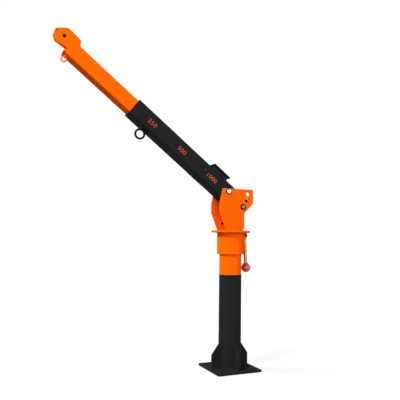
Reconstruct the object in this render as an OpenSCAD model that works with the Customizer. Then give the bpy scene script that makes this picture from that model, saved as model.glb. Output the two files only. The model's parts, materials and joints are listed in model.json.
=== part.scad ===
// Column-mounted jib crane: a bolted post, a slewing head, a luffing box
// boom with a pinned telescopic extension, and a sheave head at the tip.
// Origin: centre of the base plate's underside, on the column's axis.
// +Z is up and the boom points towards -X. Millimetres.

/* [Base] */
// Side of the square base plate
plate_side = 250; // [200:5:320]
// Thickness of the base plate
plate_t = 10; // [6:1:16]
// Corner radius of the base plate
plate_corner_r = 8; // [2:1:20]
// Distance of the anchor holes from the plate's edges
bolt_edge = 37; // [24:1:50]
// Diameter of the anchor holes
bolt_hole_d = 16; // [10:1:22]
// Outside diameter of the black post
post_d = 119; // [90:1:140]
// Wall of the post
post_wall = 3.2; // [2:0.1:6]
// Height of the post above the base plate
post_h = 482; // [300:2:700]
// Distance of the gussets' outer edge from the plate's edge
gusset_set_in = 20; // [8:1:40]
// Height of the gussets along the post
gusset_h = 129; // [70:1:180]
// Height of the gussets at their outer edge
gusset_edge_h = 67; // [30:1:100]
// Thickness of the gussets
gusset_t = 8; // [5:1:14]
// Leg of the weld bead round the post's foot
weld_leg = 6; // [3:0.5:10]

/* [Mast] */
// Wall of the orange mast tube
mast_wall = 6; // [4:0.5:10]
// How far the mast's shoulder stands out round its spigot
mast_step = 3; // [1:0.5:5]
// Length of mast standing above the post
mast_rise = 216; // [150:2:320]
// Depth of the mast's spigot inside the post
spigot_depth = 190; // [120:5:280]
// Clear gap all round between tubes that fit into one another
fit_gap = 0.3; // [0.1:0.1:0.8]
// Height of the ring in the post that carries the mast
seat_h = 20; // [12:1:40]
// Thickness of the mast's cap
cap_t = 6; // [4:1:12]
// Diameter of the king bolt
king_d = 20; // [14:1:24]

/* [Slewing head] */
// Wall of the sleeve
sleeve_wall = 6; // [4:0.5:9]
// Height of the sleeve
sleeve_h = 114; // [100:2:160]
// Height of the sleeve's bushes
bush_h = 22; // [12:1:34]
// Space between the mast and the sleeve, which the bushes fill
bush_space = 7; // [4:0.5:14]
// Width of the flange's lip around the sleeve
flange_lip = 31; // [24:1:60]
// Thickness of the flange plate
flange_t = 10; // [6:1:16]
// Radial running clearance of pins and bushes
run_gap = 0.08; // [0.02:0.01:0.1]

/* [Cheeks] */
// Thickness of the two cheek plates
cheek_t = 8; // [5:1:12]
// Side clearance between the boom and each cheek
cheek_gap = 2.5; // [1.5:0.5:5]
// Height of the cheeks above the boom's pivot
cheek_over = 17; // [15:1:30]
// Reach of the cheeks' shoulder towards the boom
cheek_front = 91.5; // [84:0.5:100]
// Half width of the cheeks' neck
neck_half = 53; // [48:1:62]
// Height of the boom's pivot above the flange
pivot_rise = 205; // [190:1:250]
// Distance of the pivot from the column's axis
pivot_set = 43; // [36:1:48]
// Diameter of the pivot pin
pivot_d = 20; // [16:1:26]
// Radius of the arc on which the luffing holes lie
luff_r = 118; // [98:1:142]
// Diameter of the luffing holes
luff_hole_d = 22; // [16:1:24]
// Angles of the luffing holes below the horizontal
luff_hole_angles = [4.5, 21.3, 41.4];
// Metal around the luffing holes
luff_edge = 31; // [20:1:40]
// Diameter of the tie bar between the cheeks
tie_d = 14; // [10:1:20]
// Height of the tie bar above the flange
tie_rise = 41; // [20:1:60]
// Distance of the tie bar from the column's axis
tie_set = 28; // [22:1:36]
// Clear height between the web and the boom's tail
web_clear = 21; // [8:1:40]

/* [Boom] */
// Angle of the boom above the horizontal as pinned
luff_angle = 37.7; // [37:0.1:38.5]
// Outside width of the outer boom
outer_w = 90; // [70:1:104]
// Wall of the outer boom
outer_wall = 5; // [4:0.5:7]
// Length of the outer boom ahead of its last hole
mouth_l = 76; // [70:2:160]
// Length of the outer boom behind its luffing hole
tail_edge = 25; // [16:1:32]
// Distance of the first extension hole from the pivot
first_hole = 172; // [160:1:190]
// Step between the extension holes
hole_step = 204; // [170:1:245]
// Diameter of the extension holes
pin_hole_d = 13; // [9:1:18]
// Length of the wear liner in the outer boom's mouth
mouth_liner_l = 60; // [30:2:62]
// Outside diameter of the ring under the boom
boom_ring_d = 58; // [40:1:70]
// Bar diameter of the ring under the boom
boom_ring_bar = 11; // [6:1:14]
// Distance of the ring from the outer boom's mouth
boom_ring_back = 113; // [40:1:200]

/* [Winch seat] */
// Length of the winch plate along the boom
winch_l = 115; // [90:1:125]
// Width of the winch plate
winch_w = 70; // [66:1:86]
// Thickness of the winch plate
winch_t = 7; // [4:1:12]
// Height of the channel under the winch plate
riser_h = 22; // [10:1:30]
// Wall of the channel under the winch plate
riser_wall = 5; // [3:0.5:8]
// Distance of the winch plate's rear end from the pivot
winch_at = 30; // [28:1:44]
// Distance between neighbouring winch bolt holes
winch_pitch = 50; // [40:1:54]
// Diameter of the winch bolt holes
winch_hole_d = 11; // [8:0.5:13]

/* [Extension] */
// Space all round between the booms, which the liners fill
liner_space = 2; // [1:0.5:6]
// Wall of the inner boom
inner_wall = 5; // [3:0.5:6]
// Length of the inner boom's underside that shows ahead of the outer boom
inner_reach = 412; // [300:2:560]
// Run of the slanted cut at the inner boom's end
bevel_run = 42; // [30:1:56]
// Length of inner boom behind its pin hole
inner_tail = 28; // [20:1:40]
// Thickness of the plate that closes the slanted end
end_cap_t = 4; // [3:1:8]
// Outside diameter of the ring under the tip
tip_ring_d = 32; // [26:1:44]
// Bar diameter of the ring under the tip
tip_ring_bar = 6.5; // [4:0.5:8]

/* [Sheave head] */
// Thickness of the two sheave plates
tip_plate_t = 5; // [4:1:8]
// Clear width between the sheave plates
tip_gap = 20; // [16:1:28]
// Distance of the sheave's centre ahead of the lower lip
sheave_ahead = 46; // [40:1:52]
// Height of the sheave's centre above the boom's middle
sheave_up = 29; // [20:1:30]
// Outside diameter of the sheave
sheave_d = 66; // [54:1:80]
// Depth of the sheave's rope groove
groove_depth = 8; // [5:0.5:10]
// Diameter of the sheave's axle
axle_d = 20; // [14:1:22]
// Diameter of the rope keeper
keeper_d = 8; // [6:1:12]

/* [Lock lever] */
// Diameter of the lever's rod
rod_d = 18; // [10:1:20]
// Distance from the lever's pin to the middle of its knob
lever_l = 174; // [140:1:190]
// Diameter of the knob
knob_d = 51; // [34:1:56]
// Angle at which the lever hangs away from the post
lever_lean = 3.1; // [2:0.1:6]
// Diameter of the lever's pin
lever_pin_d = 10; // [8:1:12]
// Thickness of each ear that holds the lever
ear_t = 5; // [4:1:9]

/* [Hidden] */

orange = [1.0, 0.42, 0.02];
black = [0.12, 0.12, 0.12];
zinc = [0.75, 0.76, 0.78];
dark_steel = [0.33, 0.33, 0.31];
drawn_steel = [0.5, 0.5, 0.49];
bronze = [0.72, 0.52, 0.28];
red = [0.75, 0.2, 0.25];

// Arcs are true circles in the solids; $fn only has to be above 12.
$fn = 64;
// A cut reaches this far past the face it goes through.
over = 1;
// Straight steps in each rounded corner of a plate outline.
arc_steps = 6;

// Levels, from the ground up.
post_top = plate_t + post_h;
bolt_pitch = plate_side - 2 * bolt_edge;
gusset_reach = plate_side / 2 - gusset_set_in;
spigot_d = post_d - 2 * post_wall - 2 * fit_gap;
mast_d = spigot_d + 2 * mast_step;
mast_bore = spigot_d - 2 * mast_wall;
mast_bottom = post_top - spigot_depth;
mast_top = post_top + mast_rise;
cap_top = mast_top + cap_t;
flange_bottom = cap_top + fit_gap;
flange_top = flange_bottom + flange_t;
sleeve_bottom = flange_bottom - sleeve_h;

// Head widths.
sleeve_bore = mast_d + 2 * bush_space;
sleeve_d = sleeve_bore + 2 * sleeve_wall;
flange_d = sleeve_d + 2 * flange_lip;
cheek_inner = outer_w / 2 + cheek_gap;
cheek_outer = cheek_inner + cheek_t;
cheek_rear = luff_r - pivot_set + luff_edge;
cheek_h = pivot_rise + cheek_over;
luff_hole_z = [for (a = luff_hole_angles) pivot_rise - luff_r * sin(a)];
pivot_x = -pivot_set;
pivot_z = flange_top + pivot_rise;
king_head_h = 12;
king_washer_t = 4;
king_washer_d = king_d * 1.85;
king_grip = 30;

// Boom fits.
outer_bore = outer_w - 2 * outer_wall;
outer_front = first_hole + 2 * hole_step + mouth_l;
outer_tail = luff_r + tail_edge;
boom_ring_at = outer_front - boom_ring_back;
tail_low = pivot_rise - outer_tail * sin(luff_angle) - outer_w / 2 * cos(luff_angle);
outer_r = 2 * outer_wall;
inner_w = outer_bore - 2 * liner_space;
inner_r = 9;
inner_end = outer_front + inner_reach;
inner_start = first_hole - inner_tail;
bush_d = pivot_d + 12;
ring_weld = 3;

// Sheave head, with the keeper just clear of the sheave's rim.
sheave_at = inner_end + sheave_ahead;
keeper_clear = 6;
keeper_from_axle = sheave_d / 2 + keeper_clear + keeper_d / 2;
cap_slope = [inner_w, bevel_run] / norm([inner_w, bevel_run]);
tip_plate_y = tip_gap / 2;

// Lever.
lever_out = 13;
lever_x = sleeve_d / 2 + lever_out;
lever_drop = 14;
lever_z = flange_bottom - lever_drop;
eye_d = rod_d;
eye_w = rod_d + 1;
side_gap = 0.5;
knob_socket = 10;

// ---------------------------------------------------------------- helpers

function unit(v) = v / norm(v);

// The points of an arc of radius r that rounds the corner a-b-c.
function corner_arc(a, b, c, r) =
    let (
        u = unit(a - b),
        w = unit(c - b),
        half = acos(u * w) / 2,
        centre = b + unit(u + w) * (r / sin(half)),
        from_c = b + u * (r / tan(half)) - centre,
        to_c = b + w * (r / tan(half)) - centre,
        start = atan2(from_c[1], from_c[0]),
        turn = atan2(cross(from_c, to_c), from_c * to_c)
    )
    [for (i = [0:arc_steps]) let (t = start + turn * i / arc_steps)
        centre + r * [cos(t), sin(t)]];

// An outline whose corner i is rounded with radii[i].
function rounded_outline(pts, radii) =
    let (n = len(pts))
    [for (i = [0:n - 1])
        each corner_arc(pts[(i + n - 1) % n], pts[i], pts[(i + 1) % n], radii[i])];

// A square section with true round corners.
module rounded_square(w, h, r) {
    square([w - 2 * r, h], center = true);
    square([w, h - 2 * r], center = true);
    for (x = [-1, 1], y = [-1, 1])
        translate([x * (w / 2 - r), y * (h / 2 - r)])
            circle(r);
}

// Stands a flat outline (x, z) up between y0 and y0 + t.
module upright(y0, t) {
    translate([0, y0 + t, 0])
        rotate([90, 0, 0])
            linear_extrude(t)
                children();
}

// A round bar or hole along Y between y0 and y1.
module cross_bar(d, y0, y1) {
    translate([0, y1, 0])
        rotate([90, 0, 0])
            cylinder(d = d, h = y1 - y0);
}

// A pipe standing on z = 0.
module pipe(d, bore, h) {
    difference() {
        cylinder(d = d, h = h);
        translate([0, 0, -over])
            cylinder(d = bore, h = h + 2 * over);
    }
}

// A hexagon head or nut along +Z, its corners turned off by a chamfer.
module hex_head(across_flats, h) {
    corners = across_flats / cos(30);
    intersection() {
        cylinder(d = corners, h = h, $fn = 6);
        cylinder(d1 = corners + 2 * h, d2 = across_flats * 0.96, h = h);
    }
}

// A ring of round bar standing in the XZ plane.
module bar_ring(outside_d, bar) {
    rotate([90, 0, 0])
        rotate_extrude()
            translate([outside_d / 2 - bar / 2, 0])
                circle(d = bar, $fn = 32);
}

// The boom's own frame: x runs from the pivot to the tip, z is the boom's top.
module on_boom() {
    translate([pivot_x, 0, pivot_z])
        rotate([0, luff_angle, 0])
            rotate([0, 0, 180])
                children();
}

// The frame of the lever's pin, with the rod running down -Z.
module on_lever() {
    translate([lever_x, 0, lever_z])
        rotate([0, -lever_lean, 0])
            children();
}

// A square tube along x from a to b.
module box_tube(a, b, w, wall, r) {
    translate([a, 0, 0])
        rotate([90, 0, 90])
            linear_extrude(b - a)
                difference() {
                    rounded_square(w, w, r);
                    rounded_square(w - 2 * wall, w - 2 * wall, max(r - wall, 1));
                }
}

// ------------------------------------------------------------------- base

module base_plate() {
    color(black)
        difference() {
            linear_extrude(plate_t)
                rounded_square(plate_side, plate_side, plate_corner_r);
            for (x = [-1, 1], y = [-1, 1])
                translate([x * bolt_pitch / 2, y * bolt_pitch / 2, -over])
                    cylinder(d = bolt_hole_d, h = plate_t + 2 * over);
        }
}

module post_tube() {
    color(black)
        translate([0, 0, plate_t])
            pipe(post_d, post_d - 2 * post_wall, post_h);
}

// One gusset, along +X, with a snipe that clears the foot weld.
module gusset() {
    inner = post_d / 2;
    snipe = weld_leg + 2;
    color(black)
        translate([0, 0, plate_t])
            upright(-gusset_t / 2, gusset_t)
                polygon([
                    [inner + snipe, 0], [gusset_reach, 0],
                    [gusset_reach, gusset_edge_h], [inner, gusset_h], [inner, snipe]
                ]);
}

module gusset_lever_side() {
    gusset();
}

module gusset_back() {
    rotate([0, 0, 90])
        gusset();
}

module gusset_boom_side() {
    rotate([0, 0, 180])
        gusset();
}

module gusset_front() {
    rotate([0, 0, 270])
        gusset();
}

module foot_weld() {
    color(black)
        translate([0, 0, plate_t])
            rotate_extrude()
                polygon([
                    [post_d / 2, 0], [post_d / 2 + weld_leg, 0],
                    [post_d / 2 + weld_leg * 0.6, weld_leg * 0.6], [post_d / 2, weld_leg]
                ]);
}

// ------------------------------------------------------------------- mast

module mast_seat() {
    color(black)
        translate([0, 0, mast_bottom - seat_h])
            pipe(post_d - 2 * post_wall, spigot_d - 4 * mast_wall, seat_h);
}

// Its shoulder rests on the post's rim, and its turned spigot fills the post.
module mast_tube() {
    color(orange) {
        translate([0, 0, mast_bottom])
            pipe(spigot_d, mast_bore, post_top - mast_bottom);
        translate([0, 0, post_top])
            pipe(mast_d, mast_bore, mast_top - post_top);
    }
}

module mast_cap() {
    color(zinc)
        translate([0, 0, mast_top])
            pipe(mast_d, king_d, cap_t);
}

// Holds the head down on the mast; its head shows between the cheeks.
module king_bolt() {
    head_z = flange_top + king_washer_t + fit_gap;
    color(zinc) {
        translate([0, 0, head_z])
            hex_head(king_d * 1.5, king_head_h);
        translate([0, 0, mast_top - king_grip])
            cylinder(d = king_d - 2 * run_gap, h = head_z - mast_top + king_grip);
        translate([0, 0, flange_top + fit_gap])
            cylinder(d = king_washer_d, h = king_washer_t);
    }
}

// ---------------------------------------------------------- slewing head

module slew_sleeve() {
    color(orange)
        translate([0, 0, sleeve_bottom])
            pipe(sleeve_d, sleeve_bore, sleeve_h);
}

module head_bush(z) {
    color(bronze)
        translate([0, 0, z])
            pipe(sleeve_bore, mast_d + 2 * run_gap, bush_h);
}

module lower_bush() {
    head_bush(sleeve_bottom);
}

module upper_bush() {
    below_cap = 4;
    head_bush(mast_top - bush_h - below_cap);
}

module slew_flange() {
    edge = 1.5;
    color(orange)
        translate([0, 0, flange_bottom])
            rotate_extrude()
                polygon([
                    [king_d / 2 + fit_gap, 0], [flange_d / 2 - edge, 0], [flange_d / 2, edge],
                    [flange_d / 2, flange_t - edge], [flange_d / 2 - edge, flange_t],
                    [king_d / 2 + fit_gap, flange_t]
                ]);
}

// The outline of a cheek: x to the rear, z up from the flange.
module cheek_outline() {
    shoulder = luff_hole_z[1] - luff_edge / 2;
    jaw = luff_hole_z[2] - luff_edge;
    polygon(rounded_outline(
        [
            [-neck_half, 0], [-cheek_front, jaw], [-cheek_front, shoulder],
            [-cheek_front + 16.5, cheek_h], [cheek_rear, cheek_h], [cheek_rear, shoulder],
            [neck_half, jaw - 3], [neck_half, 16], [neck_half - 8, 0]
        ],
        [1, 18, 22, 5, 9, 24, 8, 5, 1]
    ));
}

module cheek(y0) {
    color(orange)
        difference() {
            translate([0, 0, flange_top])
                upright(y0, cheek_t)
                    cheek_outline();
            translate([pivot_x, 0, pivot_z])
                cross_bar(pivot_d, y0 - over, y0 + cheek_t + over);
            for (a = luff_hole_angles)
                translate([pivot_x + luff_r * cos(a), 0, pivot_z - luff_r * sin(a)])
                    cross_bar(luff_hole_d, y0 - over, y0 + cheek_t + over);
        }
}

module cheek_near() {
    cheek(-cheek_outer);
}

module cheek_far() {
    cheek(cheek_inner);
}

// A web across the cheeks, clear of the king bolt and below the boom.
module cheek_web() {
    web_t = 8;
    web_x = king_washer_d / 2 + 6;
    web_h = tail_low - web_clear;
    color(orange)
        translate([web_x, -cheek_inner, flange_top])
            cube([web_t, 2 * cheek_inner, web_h]);
}

// A bar across the cheeks, in front of the king bolt.
module cheek_tie() {
    color(dark_steel)
        translate([-tie_set, 0, flange_top + tie_rise])
            cross_bar(tie_d, -cheek_inner, cheek_inner);
}

module pivot_pin() {
    head_d = pivot_d + 2;
    head_h = 9;
    bevel = 1.5;
    nut_end = 14;
    color(zinc)
        translate([pivot_x, 0, pivot_z]) {
            cross_bar(pivot_d, -cheek_outer, cheek_outer + nut_end);
            translate([0, -cheek_outer, 0])
                rotate([90, 0, 0])
                    rotate_extrude()
                        polygon([
                            [0, 0], [head_d / 2, 0], [head_d / 2, head_h - bevel],
                            [head_d / 2 - bevel, head_h], [0, head_h]
                        ]);
        }
}

module pivot_nut() {
    nut_h = 11;
    color(zinc)
        translate([pivot_x, cheek_outer, pivot_z])
            rotate([-90, 0, 0])
                difference() {
                    hex_head(pivot_d * 1.5, nut_h);
                    translate([0, 0, -over])
                        cylinder(d = pivot_d, h = nut_h + 2 * over);
                }
}

// The luffing pin's two ends, each seated in its own cheek.
module luff_pin() {
    head_d = luff_hole_d + 5;
    head_h = 5;
    stub = 10;
    a = luff_hole_angles[2];
    color(dark_steel)
        translate([pivot_x + luff_r * cos(a), 0, pivot_z - luff_r * sin(a)]) {
            cross_bar(luff_hole_d, -cheek_outer, -cheek_inner);
            cross_bar(head_d, -cheek_outer - head_h, -cheek_outer);
            cross_bar(luff_hole_d, cheek_inner, cheek_outer + stub);
        }
}

// ------------------------------------------------------------------ lever

// Two ears welded to the sleeve under the flange.
module lever_ears() {
    out = lever_x + eye_d / 2 - 1;
    foot = sleeve_d / 2 + 5;
    foot_drop = 30;
    nose_drop = 9;
    top = flange_bottom - lever_z;
    color(orange)
        difference() {
            for (y0 = [-eye_w / 2 - side_gap - ear_t, eye_w / 2 + side_gap])
                translate([0, 0, lever_z])
                    upright(y0, ear_t)
                        polygon(rounded_outline(
                            [[0, -foot_drop], [foot, -foot_drop], [out, -nose_drop], [out, top], [0, top]],
                            [1, 6, 6, 4, 1]
                        ));
            translate([0, 0, sleeve_bottom])
                cylinder(d = sleeve_d, h = sleeve_h + over);
            translate([lever_x, 0, lever_z])
                cross_bar(lever_pin_d, -eye_w, eye_w);
        }
}

module lever_pin() {
    half = eye_w / 2 + side_gap + ear_t;
    head_h = 4;
    stub = 3;
    color(dark_steel)
        translate([lever_x, 0, lever_z]) {
            cross_bar(lever_pin_d, -half, half + stub);
            cross_bar(lever_pin_d + 5, -half - head_h, -half);
        }
}

module lever_rod() {
    color(drawn_steel)
        on_lever()
            difference() {
                union() {
                    cross_bar(eye_d, -eye_w / 2, eye_w / 2);
                    translate([0, 0, -lever_l + knob_d / 2 - knob_socket])
                        cylinder(d = rod_d, h = lever_l - knob_d / 2 + knob_socket);
                }
                cross_bar(lever_pin_d + 2 * run_gap, -eye_w, eye_w);
            }
}

// A ball with a short collar where the rod enters it.
module lever_knob() {
    collar_in = 5;
    collar_h = 7;
    color(red)
        on_lever()
            difference() {
                union() {
                    translate([0, 0, -lever_l])
                        sphere(d = knob_d);
                    translate([0, 0, -lever_l + knob_d / 2 - collar_in])
                        cylinder(d1 = rod_d + 12, d2 = rod_d + 6, h = collar_h);
                }
                translate([0, 0, -lever_l + knob_d / 2 - knob_socket])
                    cylinder(d = rod_d, h = knob_socket + collar_h);
            }
}

// ------------------------------------------------------------------- boom

// Angle and place of the luffing hole in the boom's own frame.
function luff_hole_on_boom() =
    let (a = luff_hole_angles[2] - luff_angle)
    [-luff_r * cos(a), -luff_r * sin(a)];

module outer_boom() {
    color(black)
        on_boom()
            difference() {
                box_tube(-outer_tail, outer_front, outer_w, outer_wall, outer_r);
                cross_bar(bush_d, -outer_w, outer_w);
                translate([luff_hole_on_boom()[0], 0, luff_hole_on_boom()[1]])
                    cross_bar(luff_hole_d, -outer_w, outer_w);
                for (i = [0:2])
                    translate([first_hole + i * hole_step, 0, 0])
                        cross_bar(pin_hole_d, -outer_w, outer_w);
            }
}

module pivot_bush() {
    color(black)
        on_boom()
            difference() {
                cross_bar(bush_d, -outer_w / 2, outer_w / 2);
                cross_bar(pivot_d + 2 * run_gap, -outer_w, outer_w);
            }
}

// A plastic liner in the mouth, on which the inner boom slides.
module mouth_liner() {
    slide_w = inner_w + 2 * fit_gap;
    color(black)
        on_boom()
            translate([outer_front - mouth_liner_l, 0, 0])
                rotate([90, 0, 90])
                    linear_extrude(mouth_liner_l)
                        difference() {
                            rounded_square(outer_bore, outer_bore, outer_r - outer_wall);
                            rounded_square(slide_w, slide_w, inner_r + fit_gap);
                        }
}

module boom_ring() {
    sunk = 1;
    drop = outer_w / 2 + boom_ring_d / 2 + ring_weld - sunk;
    color(black)
        on_boom() {
            translate([boom_ring_at, 0, -drop])
                bar_ring(boom_ring_d, boom_ring_bar);
            translate([boom_ring_at, 0, -outer_w / 2 - ring_weld - sunk])
                cylinder(d = boom_ring_bar + 8, h = ring_weld + sunk);
        }
}

// An inverted channel welded on the boom.
module winch_riser() {
    set_in = 8;
    half = winch_w / 2 - set_in;
    color(black)
        on_boom()
            translate([winch_at + set_in, 0, outer_w / 2])
                difference() {
                    translate([0, -half, 0])
                        cube([winch_l - 2 * set_in, 2 * half, riser_h]);
                    translate([-over, -half + riser_wall, -over])
                        cube([winch_l, 2 * (half - riser_wall), riser_h - riser_wall + over]);
                }
}

module winch_plate() {
    color(black)
        on_boom()
            translate([winch_at, 0, outer_w / 2 + riser_h])
                difference() {
                    translate([0, -winch_w / 2, 0])
                        cube([winch_l, winch_w, winch_t]);
                    for (x = [-1, 1], y = [-1, 1])
                        translate([winch_l / 2 + x * winch_pitch / 2, y * winch_pitch / 2, -over])
                            cylinder(d = winch_hole_d, h = winch_t + 2 * over);
                }
}

// The extension pin's two ends, each seated in a wall of the outer boom.
module extension_pin() {
    half = outer_w / 2;
    near_end = 6;
    far_end = 4;
    color(dark_steel)
        on_boom()
            translate([first_hole, 0, 0]) {
                cross_bar(pin_hole_d, half - outer_wall, half + near_end);
                cross_bar(pin_hole_d, -half - far_end, -half + outer_wall);
            }
}

// -------------------------------------------------------------- extension

module inner_boom() {
    color(orange)
        on_boom()
            difference() {
                box_tube(inner_start, inner_end, inner_w, inner_wall, inner_r);
                for (n = [0:2])
                    translate([first_hole + n * hole_step, 0, 0])
                        cross_bar(pin_hole_d, -inner_w, inner_w);
                upright(-inner_w, 2 * inner_w)
                    polygon([
                        [inner_end - bevel_run, inner_w / 2],
                        [inner_end, -inner_w / 2],
                        [inner_end + bevel_run, -inner_w / 2],
                        [inner_end + bevel_run, inner_w],
                        [inner_end - bevel_run, inner_w]
                    ]);
            }
}

// A plastic liner round the inner boom's tail, behind its pin hole.
module tail_liner() {
    slide_w = outer_bore - 2 * fit_gap;
    tail_liner_l = inner_tail - pin_hole_d / 2 - 3;
    color(black)
        on_boom()
            translate([inner_start, 0, 0])
                rotate([90, 0, 90])
                    linear_extrude(tail_liner_l)
                        difference() {
                            rounded_square(slide_w, slide_w, inner_r + 1);
                            rounded_square(inner_w, inner_w, inner_r);
                        }
}

// The slanted plate that closes the inner boom, from its top edge to its lip.
module end_cap() {
    top = [inner_end - bevel_run, inner_w / 2];
    lip = [inner_end, -inner_w / 2];
    color(orange)
        on_boom()
            upright(-inner_w / 2, inner_w)
                polygon([top, lip, lip + end_cap_t * cap_slope, top + end_cap_t * cap_slope]);
}

// The outline of a sheave plate, on the boom's frame, standing on the cap.
module sheave_plate_outline() {
    top = [inner_end - bevel_run, inner_w / 2] + end_cap_t * cap_slope;
    lip = [inner_end, -inner_w / 2] + end_cap_t * cap_slope;
    foot = top + (lip - top) * 0.6;
    c = [sheave_at, sheave_up];
    edge = sheave_d / 2 + 10;
    nose = keeper_from_axle + keeper_d / 2 + 6;
    polygon(rounded_outline(
        [
            top, c + [-edge - 29, edge - 1], c + [edge - 31, edge + 2.5], c + [nose, 1],
            c + [nose - 9, 16 - edge], c + [edge - 23, -edge - 1], foot
        ],
        [1, 22, 26, 10, 14, 12, 1]
    ));
}

module sheave_plate(y0) {
    color(orange)
        on_boom()
            difference() {
                upright(y0, tip_plate_t)
                    sheave_plate_outline();
                translate([sheave_at, 0, sheave_up])
                    cross_bar(axle_d, y0 - over, y0 + tip_plate_t + over);
                translate([sheave_at + keeper_from_axle, 0, sheave_up - 3])
                    cross_bar(keeper_d, y0 - over, y0 + tip_plate_t + over);
            }
}

module sheave_plate_near() {
    sheave_plate(tip_plate_y);
}

module sheave_plate_far() {
    sheave_plate(-tip_plate_y - tip_plate_t);
}

module tip_ring() {
    weld = 2;
    sunk = 1;
    at = inner_end - 22;
    color(orange)
        on_boom() {
            translate([at, 0, -inner_w / 2 - tip_ring_d / 2 - weld + sunk])
                bar_ring(tip_ring_d, tip_ring_bar);
            translate([at, 0, -inner_w / 2 - weld - sunk])
                cylinder(d = tip_ring_bar + 5, h = weld + sunk);
        }
}

// The axle's ends lie a little below the plates' faces.
module sheave_axle() {
    recess = 3.5;
    half = tip_plate_y + tip_plate_t - recess;
    color(dark_steel)
        on_boom()
            translate([sheave_at, 0, sheave_up])
                cross_bar(axle_d, -half, half);
}

module rope_keeper() {
    half = tip_plate_y + tip_plate_t;
    color(dark_steel)
        on_boom()
            translate([sheave_at + keeper_from_axle, 0, sheave_up - 3])
                cross_bar(keeper_d, -half, half);
}

// A grooved wheel with a hub, a thin web and a rim.
module sheave() {
    rim = sheave_d / 2;
    root = rim - groove_depth;
    bore = axle_d / 2 + run_gap;
    rim_gap = 1.5;
    rim_lip = 2;
    hub_wall = 5;
    hub_half = tip_gap / 2 - side_gap;
    rim_half = tip_gap / 2 - rim_gap;
    web_half = 3.5;
    groove_half = 3;
    hub = bore + hub_wall;
    color(dark_steel)
        on_boom()
            translate([sheave_at, 0, sheave_up])
                rotate([90, 0, 0])
                    rotate_extrude()
                        polygon([
                            [bore, -hub_half], [hub, -hub_half], [hub, -web_half],
                            [root - 5, -web_half], [root - 3, -rim_half], [rim, -rim_half],
                            [rim, -rim_half + rim_lip], [root, -groove_half], [root, groove_half],
                            [rim, rim_half - rim_lip], [rim, rim_half], [root - 3, rim_half],
                            [root - 5, web_half], [hub, web_half], [hub, hub_half],
                            [bore, hub_half]
                        ]);
}

base_plate();
post_tube();
gusset_front();
gusset_back();
gusset_boom_side();
gusset_lever_side();
foot_weld();
mast_seat();
mast_tube();
mast_cap();
king_bolt();
slew_sleeve();
lower_bush();
upper_bush();
slew_flange();
cheek_near();
cheek_far();
cheek_web();
cheek_tie();
pivot_pin();
pivot_nut();
luff_pin();
lever_ears();
lever_pin();
lever_rod();
lever_knob();
outer_boom();
pivot_bush();
mouth_liner();
boom_ring();
winch_riser();
winch_plate();
extension_pin();
inner_boom();
tail_liner();
end_cap();
sheave_plate_near();
sheave_plate_far();
tip_ring();
sheave_axle();
rope_keeper();
sheave();
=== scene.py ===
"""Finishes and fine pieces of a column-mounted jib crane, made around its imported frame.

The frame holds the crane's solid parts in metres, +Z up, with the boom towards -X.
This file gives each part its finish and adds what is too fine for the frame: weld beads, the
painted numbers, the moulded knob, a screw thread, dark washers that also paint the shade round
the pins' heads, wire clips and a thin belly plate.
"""
import json
import math

import bmesh
import bpy
import numpy as np
from bpy.props import FloatProperty, FloatVectorProperty, PointerProperty, StringProperty
from mathutils import Matrix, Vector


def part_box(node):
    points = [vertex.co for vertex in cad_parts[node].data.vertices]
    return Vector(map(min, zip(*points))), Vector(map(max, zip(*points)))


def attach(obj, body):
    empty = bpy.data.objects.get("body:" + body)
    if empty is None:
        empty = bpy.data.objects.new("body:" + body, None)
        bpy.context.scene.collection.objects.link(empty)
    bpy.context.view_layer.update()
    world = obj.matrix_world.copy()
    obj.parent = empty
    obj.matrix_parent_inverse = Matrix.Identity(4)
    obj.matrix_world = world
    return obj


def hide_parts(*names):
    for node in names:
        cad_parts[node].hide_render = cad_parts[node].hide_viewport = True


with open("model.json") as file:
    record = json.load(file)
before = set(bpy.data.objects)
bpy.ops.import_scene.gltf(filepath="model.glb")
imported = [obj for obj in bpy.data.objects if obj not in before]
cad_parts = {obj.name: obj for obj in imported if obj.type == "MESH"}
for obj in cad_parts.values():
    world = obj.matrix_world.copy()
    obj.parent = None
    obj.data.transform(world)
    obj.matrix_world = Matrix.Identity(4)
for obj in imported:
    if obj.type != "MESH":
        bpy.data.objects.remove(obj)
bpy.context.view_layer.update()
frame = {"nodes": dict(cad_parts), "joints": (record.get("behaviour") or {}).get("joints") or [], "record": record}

bl_info = {
    "name": "Jib crane finishes",
    "version": (1, 0, 0),
    "blender": (4, 5, 0),
    "location": "3D View > Sidebar > Crane",
    "description": "Finishes, weld beads, numbers and small fittings of a jib crane",
    "category": "Object",
}

JOINTS = {joint["name"]: joint for joint in frame["joints"]}

# The boom's own frame: s runs from the pivot to the tip and t points to the boom's top.
PIVOT = np.array(JOINTS["luff"]["pos_m"], float)
ALONG = np.array(JOINTS["extend"]["axis"], float)
ALONG = ALONG / np.linalg.norm(ALONG)
SIDE = np.array([0.0, 1.0, 0.0])
TOP = np.cross(SIDE, ALONG)
UP = np.array([0.0, 0.0, 1.0])

# How far a surface sinks into the part that carries it, so that no gap shows.
SUNK = 0.0002
# Height of the typeface's digits as a share of its size.
DIGIT_SHARE = 0.7


# ---------------------------------------------------------------- settings


def linear(code):
    """A hex sRGB colour as linear light: c / 12.92 up to 0.04045, else ((c + 0.055) / 1.055) ^ 2.4."""
    c = np.array([int(code[i:i + 2], 16) for i in (0, 2, 4)]) / 255
    return tuple(float(v) for v in np.where(c <= 0.04045, c / 12.92, ((c + 0.055) / 1.055) ** 2.4))


def colour(name, description, code):
    """A colour setting whose default is a hex value."""
    return FloatVectorProperty(
        name=name, description=description, subtype="COLOR", size=3,
        min=0.0, max=1.0, default=linear(code),
    )


def length(name, description, metres):
    """A length setting in metres."""
    return FloatProperty(
        name=name, description=description, unit="LENGTH", min=0.0, precision=4, default=metres,
    )


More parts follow.
